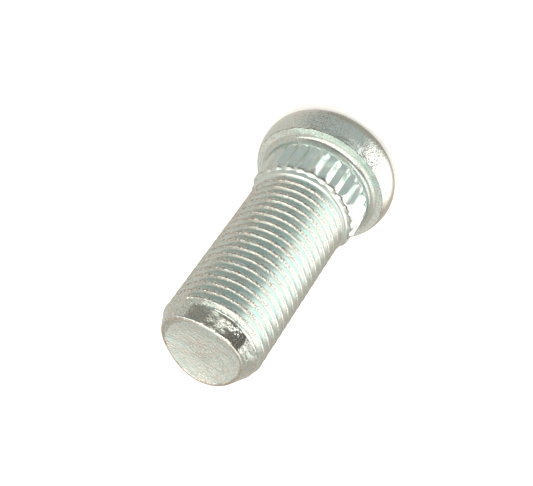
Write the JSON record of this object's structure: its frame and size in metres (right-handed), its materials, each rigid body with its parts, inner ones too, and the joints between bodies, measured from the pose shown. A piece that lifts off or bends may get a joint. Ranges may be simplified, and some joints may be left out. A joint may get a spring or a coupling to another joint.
{
  "type": "threaded stud",
  "caption": "Press-in threaded stud with a domed round head, a splined knurl under the head and a fine-threaded shank with a tapered tip.",
  "frame": {"origin": "centre of the flat outer face of the head, on the stud's axis", "axes": "+Z along the axis from the head to the threaded tip; +X passes through the bottom of one groove of the knurl"},
  "size_m": [0.0184, 0.0184, 0.0366],
  "materials": {
    "zinc_plated_steel": "satin clear zinc plate on cold-forged steel"
  },
  "bodies": {
    "root": {"stud": "zinc_plated_steel"}
  },
  "joints": []
}
